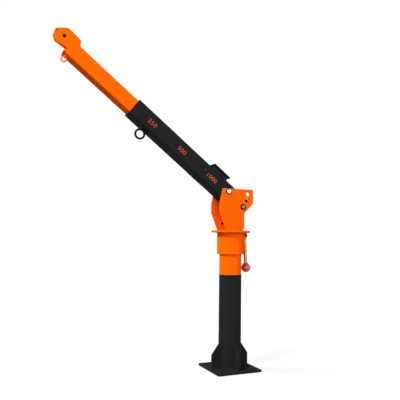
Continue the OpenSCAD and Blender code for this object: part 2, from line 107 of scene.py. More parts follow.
class CraneFinishes(bpy.types.PropertyGroup):
    """Colours of the crane's finishes."""

    orange: colour("Orange", "Powder coat of the mast, head and inner boom", "FF6000")
    black: colour("Black", "Powder coat of the post and outer boom", "1F1F20")
    number: colour("Numbers", "Stencil paint of the numbers on the boom", "DA5639")
    knob: colour("Knob", "Moulded plastic of the lever's knob", "C13230")
    floor: colour("Floor", "Floor under the crane, before its fade to white", "707070")


class CraneWelds(bpy.types.PropertyGroup):
    """Sizes of the weld beads."""

    foot_leg: length("Foot leg", "Leg of the bead round the post's foot", 0.006)
    leg: length("Leg", "Leg of the other fillet beads", 0.0045)
    small_leg: length("Small leg", "Leg of the beads at the rings", 0.003)
    ripple: length("Ripple", "Spacing of a bead's ripples", 0.004)


class CraneDetails(bpy.types.PropertyGroup):
    """Sizes of the small pieces."""

    number_height: length("Number height", "Height of the numbers on the boom", 0.023)
    number_drop: length("Number drop", "How far the numbers sit below the line of the holes", 0.005)
    number_gap: length("Number gap", "Distance from a hole to its number", 0.020)
    paint_film: length("Paint film", "Thickness of the stencil paint", 0.0002)
    thread_pitch: length("Thread pitch", "Pitch of the screw threads", 0.0025)
    holes_text: StringProperty(
        name="Numbers", description="Number beside each pin hole, from the first", default="1000 500 250",
    )


class CraneStudio(bpy.types.PropertyGroup):
    """Camera and lamps."""

    azimuth: FloatProperty(
        name="Azimuth", description="Side from which the camera looks", unit="ROTATION",
        default=math.radians(-27.56),
    )
    distance: length("Distance", "Level distance of the camera from the column", 2.7004)
    height: length("Height", "Height of the camera above the floor", 0.679)
    heading: FloatProperty(
        name="Heading", description="Direction of the view round +Z, from +Y", unit="ROTATION",
        default=math.radians(-24.02),
    )
    pitch: FloatProperty(
        name="Pitch", description="Upward tilt of the view", unit="ROTATION", default=math.radians(4.434),
    )
    roll: FloatProperty(
        name="Roll", description="Roll of the camera", unit="ROTATION", default=math.radians(0.757),
    )
    lens: FloatProperty(name="Lens", description="Focal length in millimetres", min=10.0, default=45.0)


# ------------------------------------------------------------ mesh helpers


def boom_point(s, y, t):
    """Points of the boom's frame: pivot + s * along + y * side + t * top, for numbers or arrays."""
    s, y, t = np.broadcast_arrays(*(np.asarray(v, float) for v in (s, y, t)))
    return PIVOT + s[..., None] * ALONG + y[..., None] * SIDE + t[..., None] * TOP


def node_points(node):
    """A node's vertices as an array."""
    mesh = frame["nodes"][node].data
    flat = np.empty(len(mesh.vertices) * 3, np.float32)
    mesh.vertices.foreach_get("co", flat)
    return flat.reshape(-1, 3).astype(float)


def boom_span(node):
    """Lowest and highest s, and lowest and highest t, of a node in the boom's frame."""
    p = node_points(node) - PIVOT
    s, t = p @ ALONG, p @ TOP
    return s.min(), s.max(), t.min(), t.max()


def plate_faces(node):
    """The two faces of an upright plate along the boom, each as its y and the way it looks."""
    low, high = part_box(node)
    return (low.y, -1), (high.y, 1)


def grid_faces(rows, cols, wrap_rows, wrap_cols, start=0):
    """Quads of a grid of rows by cols points, closed in either direction where wrapped."""
    i = np.arange(rows if wrap_rows else rows - 1)
    j = np.arange(cols if wrap_cols else cols - 1)
    i, j = (a.ravel() for a in np.meshgrid(i, j, indexing="ij"))
    i1, j1 = (i + 1) % rows, (j + 1) % cols
    quads = np.stack([i * cols + j, i * cols + j1, i1 * cols + j1, i1 * cols + j], -1)
    return (quads + start).tolist()


def make_piece(name, grids, body, material, replaced=()):
    """One object from several grids, each (points, wrap rows, wrap cols), riding on a body."""
    points, faces, start = [], [], 0
    for grid, wrap_rows, wrap_cols in grids:
        rows, cols = grid.shape[:2]
        points.append(grid.reshape(-1, 3))
        faces += grid_faces(rows, cols, wrap_rows, wrap_cols, start)
        start += rows * cols
    mesh = bpy.data.meshes.new(name)
    mesh.from_pydata(np.concatenate(points).tolist(), [], faces)
    return finish_piece(name, mesh, body, material, replaced)


def finish_piece(name, mesh, body, material, replaced=()):
    """Merges a mesh's doubles, turns its faces outwards, smooths it and hangs it on its body."""
    bm = bmesh.new()
    bm.from_mesh(mesh)
    bmesh.ops.remove_doubles(bm, verts=bm.verts, dist=1e-6)
    bmesh.ops.dissolve_degenerate(bm, edges=bm.edges, dist=1e-7)
    bmesh.ops.recalc_face_normals(bm, faces=bm.faces)
    bm.to_mesh(mesh)
    bm.free()
    mesh.shade_smooth()
    mesh.materials.append(material)
    piece = bpy.data.objects.new(name, mesh)
    bpy.context.scene.collection.objects.link(piece)
    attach(piece, body)
    if replaced:
        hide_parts(*replaced)
    return piece


def weld_bead(root, a, b, leg, pitch, closed=False):
    """A fillet bead along root, between faces that leave it along a and b.

    Point (i, phi) is root_i + leg * w_i * (a_i cos phi + b_i sin phi) * (1 - 0.16 sin 2 phi), for
    phi from 0 to 90 degrees, closed through the root. The ripple is w = 1 + 0.1 |sin(pi x / pitch)|
    with x the distance along root, and w falls to nothing over one leg at an open bead's ends.
    The root itself is sunk into both faces.
    """
    root, a, b = np.broadcast_arrays(root, a, b)
    ends = np.roll(root, -1, 0) if closed else root[1:]
    step = np.linalg.norm(ends - root[:len(ends)], axis=1)
    x = np.concatenate([[0], np.cumsum(step)])[:len(root)]
    total = step.sum()
    if closed:
        pitch = total / round(total / pitch)
    w = 1 + 0.1 * np.abs(np.sin(np.pi * x / pitch))
    if not closed:
        run = np.clip(np.minimum(x, total - x) / leg, 0, 1)
        w = w * np.sqrt(run * (2 - run))
    phi = np.linspace(0, math.pi / 2, 7)
    arm = (1 - 0.16 * np.sin(2 * phi))[None, :, None] * (
        a[:, None] * np.cos(phi)[None, :, None] + b[:, None] * np.sin(phi)[None, :, None]
    )
    face = root[:, None] + leg * w[:, None, None] * arm
    into = root[:, None] - SUNK * (a + b)[:, None] * w[:, None, None]
    return np.concatenate([face, into], 1), closed, True


def straight_bead(start, end, a, b, leg, pitch):
    """A bead on the line from start to end, sampled five times a ripple."""
    start, end = np.asarray(start, float), np.asarray(end, float)
    count = int(np.linalg.norm(end - start) / pitch * 5) + 2
    u = np.linspace(0, 1, count)[:, None]
    return weld_bead(start + (end - start) * u, np.asarray(a, float), np.asarray(b, float), leg, pitch)


def ring_bead(centre, axis, radius, leg, pitch):
    """A bead round a round foot: it leaves the foot along axis and lies on the face outwards."""
    axis = np.asarray(axis, float)
    first = np.cross(axis, SIDE if abs(axis @ SIDE) < 0.9 else UP)
    first = first / np.linalg.norm(first)
    second = np.cross(axis, first)
    count = int(2 * math.pi * radius / pitch * 5)
    angle = np.linspace(0, 2 * math.pi, count, endpoint=False)[:, None]
    out = first * np.cos(angle) + second * np.sin(angle)
    return weld_bead(np.asarray(centre) + radius * out, out, axis, leg, pitch, closed=True)


def lathe(centre, axis, profile, turns=48):
    """A surface of revolution: point (i, q) is centre + z_i axis + r_i (e1 cos q + e2 sin q)."""
    axis = np.asarray(axis, float) / np.linalg.norm(axis)
    e1 = np.cross(axis, SIDE if abs(axis @ SIDE) < 0.9 else UP)
    e1 = e1 / np.linalg.norm(e1)
    e2 = np.cross(axis, e1)
    q = np.linspace(0, 2 * math.pi, turns, endpoint=False)
    r, z = np.asarray(profile, float).T
    round_part = e1[None, None] * np.cos(q)[None, :, None] + e2[None, None] * np.sin(q)[None, :, None]
    grid = np.asarray(centre) + z[:, None, None] * axis + r[:, None, None] * round_part
    return grid, False, True


def thread(centre, axis, radius, run, pitch, turns=48):
    """A screw thread: r = radius - 0.6 pitch |2 f - 1|, f the fraction of z / pitch - q / 2 pi."""
    axis = np.asarray(axis, float)
    e1 = np.cross(axis, UP)
    e1 = e1 / np.linalg.norm(e1)
    e2 = np.cross(axis, e1)
    q = np.linspace(0, 2 * math.pi, turns, endpoint=False)
    z = np.linspace(0, run, int(run / pitch * 12) + 2)
    f = np.mod(z[:, None] / pitch - q[None] / (2 * math.pi), 1)
    r = radius - 0.6 * pitch * np.abs(2 * f - 1)
    out = e1 * np.cos(q)[:, None] + e2 * np.sin(q)[:, None]
    wall = np.asarray(centre) + z[:, None, None] * axis + r[..., None] * out[None]
    tip = np.broadcast_to(np.asarray(centre) + run * axis, (1, turns, 3))
    foot = np.broadcast_to(np.asarray(centre, float), (1, turns, 3))
    return np.concatenate([foot, wall, tip]), False, True


def washer(centre, axis, bore, radius, height):
    """A flat ring with a turned edge: a five-cornered profile carried round the axis."""
    edge = 0.2 * height
    return lathe(centre, axis, [
        [bore, 0], [bore, height], [radius - edge, height], [radius, height - edge], [radius, 0], [bore, 0],
    ])


def boom_plate(s_mid, t_face, half_s, half_y, thickness, corner):
    """A plate under the boom, with round corners and a broken edge.

    The outline is ((a - r) sgn(cos q) + r cos q, (b - r) sgn(sin q) + r sin q), drawn in by the
    edge's width at its outer face and drawn together at its middle.
    """
    q = np.linspace(0, 2 * math.pi, 32, endpoint=False) + math.pi / 32
    edge = 0.25 * thickness
    rows = []
    for inset, depth in ((None, 0), (0, 0), (0, thickness - edge), (edge, thickness), (None, thickness)):
        r = 0 if inset is None else corner - inset
        a = 0 if inset is None else half_s - inset - r
        b = 0 if inset is None else half_y - inset - r
        rows.append(boom_point(
            s_mid + a * np.sign(np.cos(q)) + r * np.cos(q),
            b * np.sign(np.sin(q)) + r * np.sin(q), t_face - depth,
        ))
    return np.stack(rows), False, True


def spring_clip(centre, along, across, pin_radius, wire):
    """A wire clip through a pin's end: a straight leg, an eye and a leg bent over the pin.

    In the plane of along u and across v the bent leg is v = v0 + (p - v0) exp(-(u / 1.2 r)^2), with
    r the pin's radius, p that and 1.2 wires, and v0 the leg's height beside the pin. A circle is
    carried along the path square to it.
    """
    over_pin = pin_radius + 1.2 * wire
    # The leg's height beside the pin, the eye's radius and the legs' reach to the eye.
    low, eye, far = 0.36 * over_pin, 0.42 * over_pin, 1.9 * over_pin
    turn = math.pi - math.asin(low / 2 / eye)
    q = np.linspace(-turn, turn, 20)
    u = np.linspace(far, -1.5 * over_pin, 30)
    straight = np.stack([np.linspace(-1.4 * over_pin, far - 0.4 * wire, 12), np.zeros(12)], -1)
    circle = np.stack([far - eye * math.cos(turn) + eye * np.cos(q), low / 2 + eye * np.sin(q)], -1)
    bent = np.stack([u, low + (over_pin - low) * np.exp(-(u / (1.2 * pin_radius)) ** 2)], -1)
    flat = np.concatenate([straight, circle[1:-1], bent])
    path = np.asarray(centre) + flat[:, :1] * along + flat[:, 1:] * across
    tangent = np.gradient(path, axis=0)
    tangent = tangent / np.linalg.norm(tangent, axis=1)[:, None]
    plane = np.cross(along, across)
    inward = np.cross(plane, tangent)
    phi = np.linspace(0, 2 * math.pi, 10, endpoint=False)
    round_part = (
        inward[:, None] * np.cos(phi)[None, :, None] + plane[None, None] * np.sin(phi)[None, :, None]
    )
    tube = path[:, None] + wire * round_part
    first = np.broadcast_to(path[:1, None], (1, 10, 3))
    last = np.broadcast_to(path[-1:, None], (1, 10, 3))
    return np.concatenate([first, tube, last]), False, True


# -------------------------------------------------------------- materials


def add_node(tree, kind, inputs=None, **settings):
    """Adds a node with its settings, and sets or links each input that is given."""
    made = tree.nodes.new(kind)
    for key, value in settings.items():
        setattr(made, key, value)
    for key, value in (inputs or {}).items():
        if isinstance(value, bpy.types.NodeSocket):
            tree.links.new(value, made.inputs[key])
        else:
            made.inputs[key].default_value = value
    return made


def new_tree(name):
    """A new material with an empty node tree, and the place of a point on the object."""
    material = bpy.data.materials.new(name)
    material.use_nodes = True
    tree = material.node_tree
    tree.nodes.clear()
    return material, tree, add_node(tree, "ShaderNodeTexCoord").outputs["Object"]


def shade(rgb, factor):
    """A colour made lighter or darker, with its alpha."""
    return (*(min(1.0, c * factor) for c in rgb), 1.0)


def relief(tree, height, depth_mm, edge_mm):
    """The normal of a relief depth_mm deep, over edges that are rounded by edge_mm."""
    rounded = add_node(tree, "ShaderNodeBevel", {"Radius": edge_mm / 1000}, samples=4)
    return add_node(tree, "ShaderNodeBump", {
        "Height": height, "Distance": depth_mm / 1000, "Strength": 1.0, "Normal": rounded.outputs[0],
    }).outputs[0]


def powder_coat(name, rgb, roughness, specular):
    """Baked polyester powder: an even, nearly matt colour with a fine orange peel.

    The specular level is low, as the white surroundings would otherwise veil the colour.
    """
    material, tree, place = new_tree(name)
    # The film's thickness changes slowly, so the tone drifts over about 90 mm.
    drift = add_node(tree, "ShaderNodeTexNoise", {"Vector": place, "Scale": 1000 / 90}).outputs["Fac"]
    # The Mix node's inputs 0, 6 and 7 are its factor and its two colours, and output 2 its colour.
    tone = add_node(
        tree, "ShaderNodeMix", {0: drift, 6: shade(rgb, 0.9), 7: shade(rgb, 1.08)}, data_type="RGBA",
    ).outputs[2]
    # Orange peel is 2 to 3 mm across; it is drawn at 5 mm so that it shows.
    peel = add_node(
        tree, "ShaderNodeTexNoise", {"Vector": place, "Scale": 1000 / 5, "Detail": 1.0},
    ).outputs["Fac"]
    gloss = add_node(tree, "ShaderNodeMapRange", {
        "Value": peel, "To Min": roughness - 0.1, "To Max": roughness + 0.1,
    }).outputs[0]
    shader = add_node(tree, "ShaderNodeBsdfPrincipled", {
        "Base Color": tone, "Roughness": gloss, "Specular IOR Level": specular,
        "Normal": relief(tree, peel, 0.02, 1.0),
    })
    add_node(tree, "ShaderNodeOutputMaterial", {"Surface": shader.outputs[0]})
    return material


def bare_metal(name, low, high, roughness, grain_mm, depth_mm):
    """Machined metal, bare or under a thin plate, whose crystals mottle its tone and gloss."""
    material, tree, place = new_tree(name)
    # The crystals are finer than a millimetre; they are drawn grain_mm across so that they show.
    mottle = add_node(
        tree, "ShaderNodeTexNoise", {"Vector": place, "Scale": 1000 / grain_mm, "Detail": 3.0},
    ).outputs["Fac"]
    tone = add_node(
        tree, "ShaderNodeMix", {0: mottle, 6: shade(linear(low), 1), 7: shade(linear(high), 1)},
        data_type="RGBA",
    ).outputs[2]
    gloss = add_node(tree, "ShaderNodeMapRange", {
        "Value": mottle, "To Min": roughness + 0.1, "To Max": roughness - 0.1,
    }).outputs[0]
    shader = add_node(tree, "ShaderNodeBsdfPrincipled", {
        "Base Color": tone, "Roughness": gloss, "Metallic": 1.0,
        "Normal": relief(tree, mottle, depth_mm, 0.6),
    })
    add_node(tree, "ShaderNodeOutputMaterial", {"Surface": shader.outputs[0]})
    return material


def moulded_plastic(name, rgb, roughness, coat):
    """Moulded plastic: the colour runs through it, with faint flow clouds under a smooth skin."""
    material, tree, place = new_tree(name)
    # The melt's flow shows as clouds about 18 mm across.
    flow = add_node(tree, "ShaderNodeTexNoise", {"Vector": place, "Scale": 1000 / 18}).outputs["Fac"]
    tone = add_node(
        tree, "ShaderNodeMix", {0: flow, 6: shade(rgb, 0.86), 7: shade(rgb, 1.1)}, data_type="RGBA",
    ).outputs[2]
    gloss = add_node(tree, "ShaderNodeMapRange", {
        "Value": flow, "To Min": roughness - 0.06, "To Max": roughness + 0.06,
    }).outputs[0]
    shader = add_node(tree, "ShaderNodeBsdfPrincipled", {
        "Base Color": tone, "Roughness": gloss, "Coat Weight": coat, "Coat Roughness": 0.06,
        "Normal": relief(tree, flow, 0.03, 0.5),
    })
    add_node(tree, "ShaderNodeOutputMaterial", {"Surface": shader.outputs[0]})
    return material


FINISHES = {}


def finish(slot):
    """The material of a slot or a fine piece, made the first time it is asked for."""
    colours = bpy.context.scene.crane_finishes
    makers = {
        # Polyester powder baked on steel: an even, saturated orange with next to no highlight.
        "orange_paint": lambda: powder_coat("orange_powder_coat", colours.orange, 0.65, 0.02),
        # The same powder in black: flat and nearly black, so that form shows only at the edges.
        "black_paint": lambda: powder_coat("black_powder_coat", colours.black, 0.7, 0.02),
        # Stencil paint, dabbed on thin: a red-orange duller than the powder coat.
        "stencil": lambda: powder_coat("stencil_paint", colours.number, 0.6, 0.2),
        # Bright zinc plate on bolts, cap and clips: pale silver with soft, cloudy reflections.
        "zinc": lambda: bare_metal("bright_zinc_plate", "BFC2C5", "DCDEE0", 0.3, 8, 0.01),
        # Drawn rod, zinc plated and passivated yellow: brownish metal with a streak along it.
        "drawn_steel": lambda: bare_metal("yellow_passivated_rod", "85694C", "9C8060", 0.28, 14, 0.003),
        # Steel bare from the lathe: a clean grey face in the middle of a dark pin.
        "turned_steel": lambda: bare_metal("turned_steel", "63676A", "777B7D", 0.35, 6, 0.01),
        # Steel phosphated and oiled, on pins and sheave: brown-black with a dull gleam. It is kept this dark and
        # red-brown partly as painted shade, so that the axle's recessed end reads as a shaded hole.
        "dark_steel": lambda: bare_metal("phosphated_steel_and_recess_shade", "2A1D16", "3A2B22", 0.45, 5, 0.02),
        # Bearing bronze, cast and bored: a warm brown gold.
        "bronze": lambda: bare_metal("bearing_bronze", "A9793D", "C9964F", 0.35, 8, 0.02),
        # Phenolic, moulded and buffed: deep red under a small, sharp highlight.
        "red_plastic": lambda: moulded_plastic("phenolic_knob", colours.knob, 0.2, 0.6),
        # Nylon sheet, extruded: a soft black with a waxy sheen.
        "liner": lambda: moulded_plastic("nylon_liner", linear("1B1B1C"), 0.5, 0.0),
    }
    if slot not in FINISHES:
        FINISHES[slot] = makers[slot]()
    return FINISHES[slot]


# -------------------------------------------------------------- operators


class CRANE_OT_frame_finish(bpy.types.Operator):
    """Gives every solid part the finish of its slot"""

    bl_idname = "crane.frame_finish"
    bl_label = "Finish the solid parts"

    def execute(self, context):
        for part in frame["record"]["subparts"]:
            data = frame["nodes"][part["node"]].data
            data.materials.clear()
            data.materials.append(finish(part["material_slot"]))
        return {"FINISHED"}


class CRANE_OT_base_welds(bpy.types.Operator):
    """Runs the beads at the post's foot and round the gussets"""

    bl_idname = "crane.base_welds"
    bl_label = "Base welds"

    corner_cut: length("Corner cut", "Gap between the post's bead and the gussets' beads", 0.004)

    def execute(self, context):
        welds = context.scene.crane_welds
        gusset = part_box("gusset_lever_side")[1]
        plate_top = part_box("base_plate")[1].z
        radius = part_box("post_tube")[1].x
        wall_x = math.sqrt(radius ** 2 - gusset.y ** 2)
        # The gussets' corners are cut back over the post's own bead, so theirs start past it.
        start = welds.foot_leg + self.corner_cut
        foot = ring_bead([0, 0, plate_top], UP, radius, welds.foot_leg, welds.ripple)
        make_piece("foot_bead", [foot], "base", finish("black_paint"), ["foot_weld"])
        beads = []
        for quarter in range(4):
            turn = np.array(Matrix.Rotation(quarter * math.pi / 2, 3, "Z"))
            for side in (-1, 1):
                y = side * gusset.y
                out, across = turn @ [1, 0, 0], turn @ [0, side, 0]
                beads.append(straight_bead(
                    turn @ [wall_x, y, plate_top + start], turn @ [wall_x, y, gusset.z],
                    out, across, welds.leg, welds.ripple,
                ))
                beads.append(straight_bead(
                    turn @ [radius + start, y, plate_top], turn @ [gusset.x, y, plate_top],
                    across, UP, welds.leg, welds.ripple,
                ))
        make_piece("gusset_beads", beads, "base", finish("black_paint"))
        return {"FINISHED"}


class CRANE_OT_head_welds(bpy.types.Operator):
    """Runs the beads at the flange, the cheeks' feet, the tie between them and the lever's lugs"""

    bl_idname = "crane.head_welds"
    bl_label = "Head welds"

    def execute(self, context):
        welds = context.scene.crane_welds
        under, top = (corner.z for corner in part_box("slew_flange"))
        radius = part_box("slew_sleeve")[1].x
        beads = [ring_bead([0, 0, under], -UP, radius, welds.leg, welds.ripple)]
        for node in ("cheek_near", "cheek_far"):
            x, _, z = node_points(node).T
            # The foot's corners are the points within half a millimetre of the lowest.
            foot = x[z < z.min() + 0.0005]
            for y, away in plate_faces(node):
                beads.append(straight_bead(
                    [foot.min(), y, top], [foot.max(), y, top],
                    away * SIDE, UP, welds.leg, welds.ripple,
                ))
        low, high = (np.array(c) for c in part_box("cheek_tie"))
        for side in (-1, 1):
            centre = [(low[0] + high[0]) / 2, side * high[1], (low[2] + high[2]) / 2]
            beads.append(ring_bead(
                centre, -side * SIDE, (high[0] - low[0]) / 2, welds.small_leg, welds.ripple,
            ))
        low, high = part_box("lever_ears")
        for y, away in plate_faces("lever_ears"):
            wall_x = math.sqrt(radius ** 2 - y ** 2)
            beads.append(straight_bead(
                [wall_x, y, low.z], [wall_x, y, high.z - welds.leg],
                [1, 0, 0], away * SIDE, welds.small_leg, welds.ripple,
            ))
        make_piece("head_beads", beads, "head", finish("orange_paint"))
        return {"FINISHED"}


class CRANE_OT_boom_welds(bpy.types.Operator):
    """Runs the beads along the winch seat's channel and round the ring under the boom"""

    bl_idname = "crane.boom_welds"
    bl_label = "Outer boom welds"

    def execute(self, context):
        welds = context.scene.crane_welds
        s0, s1, t0, t1 = boom_span("winch_riser")
        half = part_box("winch_riser")[1].y
        beads = []
        for side in (-1, 1):
            for t, up in ((t0, TOP), (t1, -TOP)):
                beads.append(straight_bead(
                    boom_point(s0, side * half, t), boom_point(s1, side * half, t),
                    side * SIDE, up, welds.leg, welds.ripple,
                ))
        ring_s = sum(boom_span("boom_ring")[:2]) / 2
        under = -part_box("outer_boom")[1].y
        beads.append(ring_bead(
            boom_point(ring_s, 0, under), -TOP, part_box("boom_ring")[1].y, welds.small_leg, welds.ripple,
        ))
        make_piece("boom_beads", beads, "boom", finish("black_paint"))
        return {"FINISHED"}


class CRANE_OT_tip_welds(bpy.types.Operator):
    """Runs the beads that join the sheave plates to the slanted cap, and the ring to the boom"""

    bl_idname = "crane.tip_welds"
    bl_label = "Tip welds"

    cap_thickness: length("Cap thickness", "Thickness of the slanted cap", 0.004)
    foot_share: FloatProperty(
        name="Foot share", description="Share of the cap that the plates cover", default=0.6,
    )

    def execute(self, context):
        welds = context.scene.crane_welds
        s0, s1, t0, t1 = boom_span("end_cap")
        width = 2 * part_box("inner_boom")[1].y
        # The cap looks along out * along + rise * top, and its box is higher than the boom by
        # rise times its thickness.
        rise = (t1 - t0 - width) / self.cap_thickness
        out = math.sqrt(1 - rise ** 2)
        top = np.array([s0 + self.cap_thickness * out, t1])
        lip = np.array([s1, t0 + self.cap_thickness * rise])
        foot = top + (lip - top) * self.foot_share
        normal = out * ALONG + rise * TOP
        beads = []
        for node in ("sheave_plate_near", "sheave_plate_far"):
            for y, away in plate_faces(node):
                beads.append(straight_bead(
                    boom_point(top[0], y, top[1]), boom_point(foot[0], y, foot[1]),
                    away * SIDE, normal, welds.leg, welds.ripple,
                ))
        ring_s = sum(boom_span("tip_ring")[:2]) / 2
        beads.append(ring_bead(
            boom_point(ring_s, 0, -width / 2), -TOP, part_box("tip_ring")[1].y, welds.small_leg, welds.ripple,
        ))
        make_piece("tip_beads", beads, "extension", finish("orange_paint"))
        return {"FINISHED"}


class CRANE_OT_knob(bpy.types.Operator):
    """Turns the moulded ball knob and its collar"""

    bl_idname = "crane.knob"
    bl_label = "Lever knob"

    collar: length("Collar", "Radius of the collar where the rod enters", 0.0108)
    chamfer: length("Chamfer", "Chamfer on the collar's rim", 0.0003)
    rod: length("Rod", "Radius of the lever's rod", 0.009)

    def execute(self, context):
        low, high = (np.array(c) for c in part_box("lever_knob"))
        radius = (high[1] - low[1]) / 2
        hinge = np.array(JOINTS["lever_swing"]["pos_m"], float)
        centre = np.array([(low[0] + high[0]) / 2, 0.0, low[2] + radius])
        axis = hinge - centre
        # A ball up to 58 degrees above its middle, then an ogee 3 u^2 - 2 u^3 into the collar,
        # whose rim is 1.1 radii above the middle. A blind bore takes the rod.
        phi = np.linspace(-math.pi / 2, math.radians(58), 30)
        ball = np.stack([radius * np.cos(phi), radius * np.sin(phi)], -1)
        neck_top, rim, bore_end = 1.08 * radius, 1.1 * radius, 0.7 * radius
        u = np.linspace(0, 1, 10)[1:]
        start_r, start_z = ball[-1]
        neck = np.stack([
            start_r + (self.collar - start_r) * (3 * u ** 2 - 2 * u ** 3),
            start_z + (neck_top - start_z) * u,
        ], -1)
        bore = [[self.collar - self.chamfer, rim], [self.rod, rim], [self.rod, bore_end], [0, bore_end]]
        profile = np.concatenate([ball, neck, bore])
        make_piece(
            "knob_ball", [lathe(centre, axis, profile)], "lever",
            finish("red_plastic"), ["lever_knob"],
        )
        return {"FINISHED"}


class CRANE_OT_threads(bpy.types.Operator):
    """Cuts the thread on the pivot bolt's end, beyond its nut"""

    bl_idname = "crane.threads"
    bl_label = "Pivot bolt's thread"

    crest: length("Crest", "Radius of the thread's crests", 0.0104)
    overhang: length("Overhang", "How far the thread passes the bolt's plain end", 0.0004)

    def execute(self, context):
        pitch = context.scene.crane_details.thread_pitch
        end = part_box("pivot_pin")[1].y
        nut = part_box("pivot_nut")[1].y
        # The thread starts inside the nut.
        hidden = 0.0005
        start = np.array([PIVOT[0], nut - hidden, PIVOT[2]])
        grid = thread(start, SIDE, self.crest, end - nut + hidden + self.overhang, pitch)
        make_piece("pivot_thread", [grid], "head", finish("zinc"))
        return {"FINISHED"}


class CRANE_OT_fittings(bpy.types.Operator):
    """Sets the pins' dark washers, which also paint the shade round their heads, the clips, and the turned face of
    the luffing pin
    """

    bl_idname = "crane.fittings"
    bl_label = "Washers and clips"

    pivot_rim: length("Pivot rim", "How far the washer shows round the pivot's head", 0.0045)
    pivot_washer: length("Pivot washer", "Thickness of the pivot's washer", 0.0025)
    luff_rim: length("Luff rim", "How far the washer shows round the luffing pin's head", 0.003)
    luff_washer: length("Luff washer", "Thickness of the luffing pin's washer", 0.002)
    luff_shank: length("Luff shank", "Radius of the luffing pin's shank", 0.011)
    luff_hole: length("Luff hole", "Distance of the clip from the luffing pin's end", 0.004)
    luff_wire: length("Luff wire", "Radius of the luffing pin's clip wire", 0.0014)
    extension_hole: length("Extension hole", "Distance of the clip from the extension pin's end", 0.0016)
    extension_wire: length("Extension wire", "Radius of the extension pin's clip wire", 0.001)
    turned_end: length("Turned end", "Radius of the bright end of the luffing pin's head", 0.0085)
    turned_cone: length("Turned cone", "Radius of the cone in the middle of the turned end", 0.002)

    def execute(self, context):
        steel = finish("dark_steel")
        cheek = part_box("cheek_near")[0].y
        low, high = (np.array(c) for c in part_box("luff_pin"))
        luff = np.array([(low[0] + high[0]) / 2, 0.0, (low[2] + high[2]) / 2])
        luff_head = (high[0] - low[0]) / 2
        pivot_head = (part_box("pivot_pin")[1].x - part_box("pivot_pin")[0].x) / 2
        # The dark washers round both pins' heads are partly painted shade: their dark ring stands in for the shade
        # round each proud head.
        rings = [
            washer(
                [PIVOT[0], cheek, PIVOT[2]], -SIDE, pivot_head, pivot_head + self.pivot_rim,
                self.pivot_washer,
            ),
            washer(
                [luff[0], cheek, luff[2]], -SIDE, luff_head, luff_head + self.luff_rim,
                self.luff_washer,
            ),
        ]
        make_piece("dark_washers_as_painted_shade", rings, "head", steel)
        # The head's end is turned bright, with the small cone that the lathe's centre leaves.
        face, depth = 0.0003, 0.001
        end = lathe([luff[0], low[1], luff[2]], -SIDE, [
            [0, 0], [self.turned_end, 0], [self.turned_end - face, face], [self.turned_cone, face],
            [0, -depth],
        ])
        make_piece("luff_pin_end", [end], "head", finish("turned_steel"))
        clip = spring_clip(
            [luff[0], high[1] - self.luff_hole, luff[2]], ALONG, TOP, self.luff_shank, self.luff_wire,
        )
        make_piece("luff_clip", [clip], "head", finish("zinc"))
        s0, s1, t0, t1 = boom_span("extension_pin")
        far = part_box("extension_pin")[1].y
        centre = boom_point((s0 + s1) / 2, far - self.extension_hole, (t0 + t1) / 2)
        clip = spring_clip(centre, ALONG, TOP, (s1 - s0) / 2, self.extension_wire)
        make_piece("extension_clip", [clip], "boom", finish("zinc"))
        return {"FINISHED"}


class CRANE_OT_belly_plate(bpy.types.Operator):
    """Welds the stiffening plate on the outer boom's underside, below the winch seat"""

    bl_idname = "crane.belly_plate"
    bl_label = "Belly plate"

    start: length("Start", "Distance of the plate from the pivot", 0.112)
    end: length("End", "Distance of the plate's far edge from the pivot", 0.222)
    thickness: length("Thickness", "Thickness of the plate", 0.0035)
    corner: length("Corner", "Radius of the plate's corners", 0.008)
    wider: length("Wider", "How far the plate passes the winch seat's channel on each side", 0.004)

    def execute(self, context):
        welds = context.scene.crane_welds
        under = -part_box("outer_boom")[1].y
        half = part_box("winch_riser")[1].y + self.wider
        middle, half_length = (self.start + self.end) / 2, (self.end - self.start) / 2
        plate = boom_plate(middle, under, half_length, half, self.thickness, self.corner)
        reach = half - self.corner
        beads = [
            straight_bead(
                boom_point(s, -reach, under), boom_point(s, reach, under),
                away * ALONG, -TOP, welds.small_leg, welds.ripple,
            )
            for s, away in ((self.start, -1), (self.end, 1))
        ]
        make_piece("belly_plate", [plate, *beads], "boom", finish("black_paint"))
        return {"FINISHED"}


class CRANE_OT_numbers(bpy.types.Operator):
    """Paints a plain number beside each pin hole on the outer boom's near side"""

    bl_idname = "crane.numbers"
    bl_label = "Numbers on the boom"

    def execute(self, context):
        details = context.scene.crane_details
        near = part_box("outer_boom")[0].y
        # Three pin holes span the inner boom's travel, so they stand half of it apart.
        step = JOINTS["extend"]["range_m"][1] / 2
        pin = sum(boom_span("extension_pin")[:2]) / 2
        for i, digits in enumerate(details.holes_text.split()):
            name = f"number_{digits}"
            text = bpy.data.curves.new(name, "FONT")
            text.body = digits
            text.size = details.number_height / DIGIT_SHARE
            text.extrude = details.paint_film / 2
            # Stencil strokes are thinner than the typeface's, and further apart.
            text.offset = -0.0003
            text.space_character = 1.1
            text.align_y = "CENTER"
            helper = bpy.data.objects.new("number_helper", text)
            context.scene.collection.objects.link(helper)
            context.view_layer.update()
            graph = context.evaluated_depsgraph_get()
            mesh = bpy.data.meshes.new_from_object(helper.evaluated_get(graph))
            bpy.data.objects.remove(helper)
            flat = np.empty(len(mesh.vertices) * 3, np.float32)
            mesh.vertices.foreach_get("co", flat)
            x, y, z = flat.reshape(-1, 3).astype(float).T
            # The number reads towards the pivot: x runs down the boom and y to its top.
            placed = boom_point(
                pin + i * step - details.number_gap - x, near - details.paint_film / 2 - z,
                y - details.number_drop,
            )
            mesh.vertices.foreach_set("co", placed.astype(np.float32).ravel())
            mesh.name = name
            finish_piece(name, mesh, "boom", finish("stencil"))
            mesh.shade_flat()
        return {"FINISHED"}


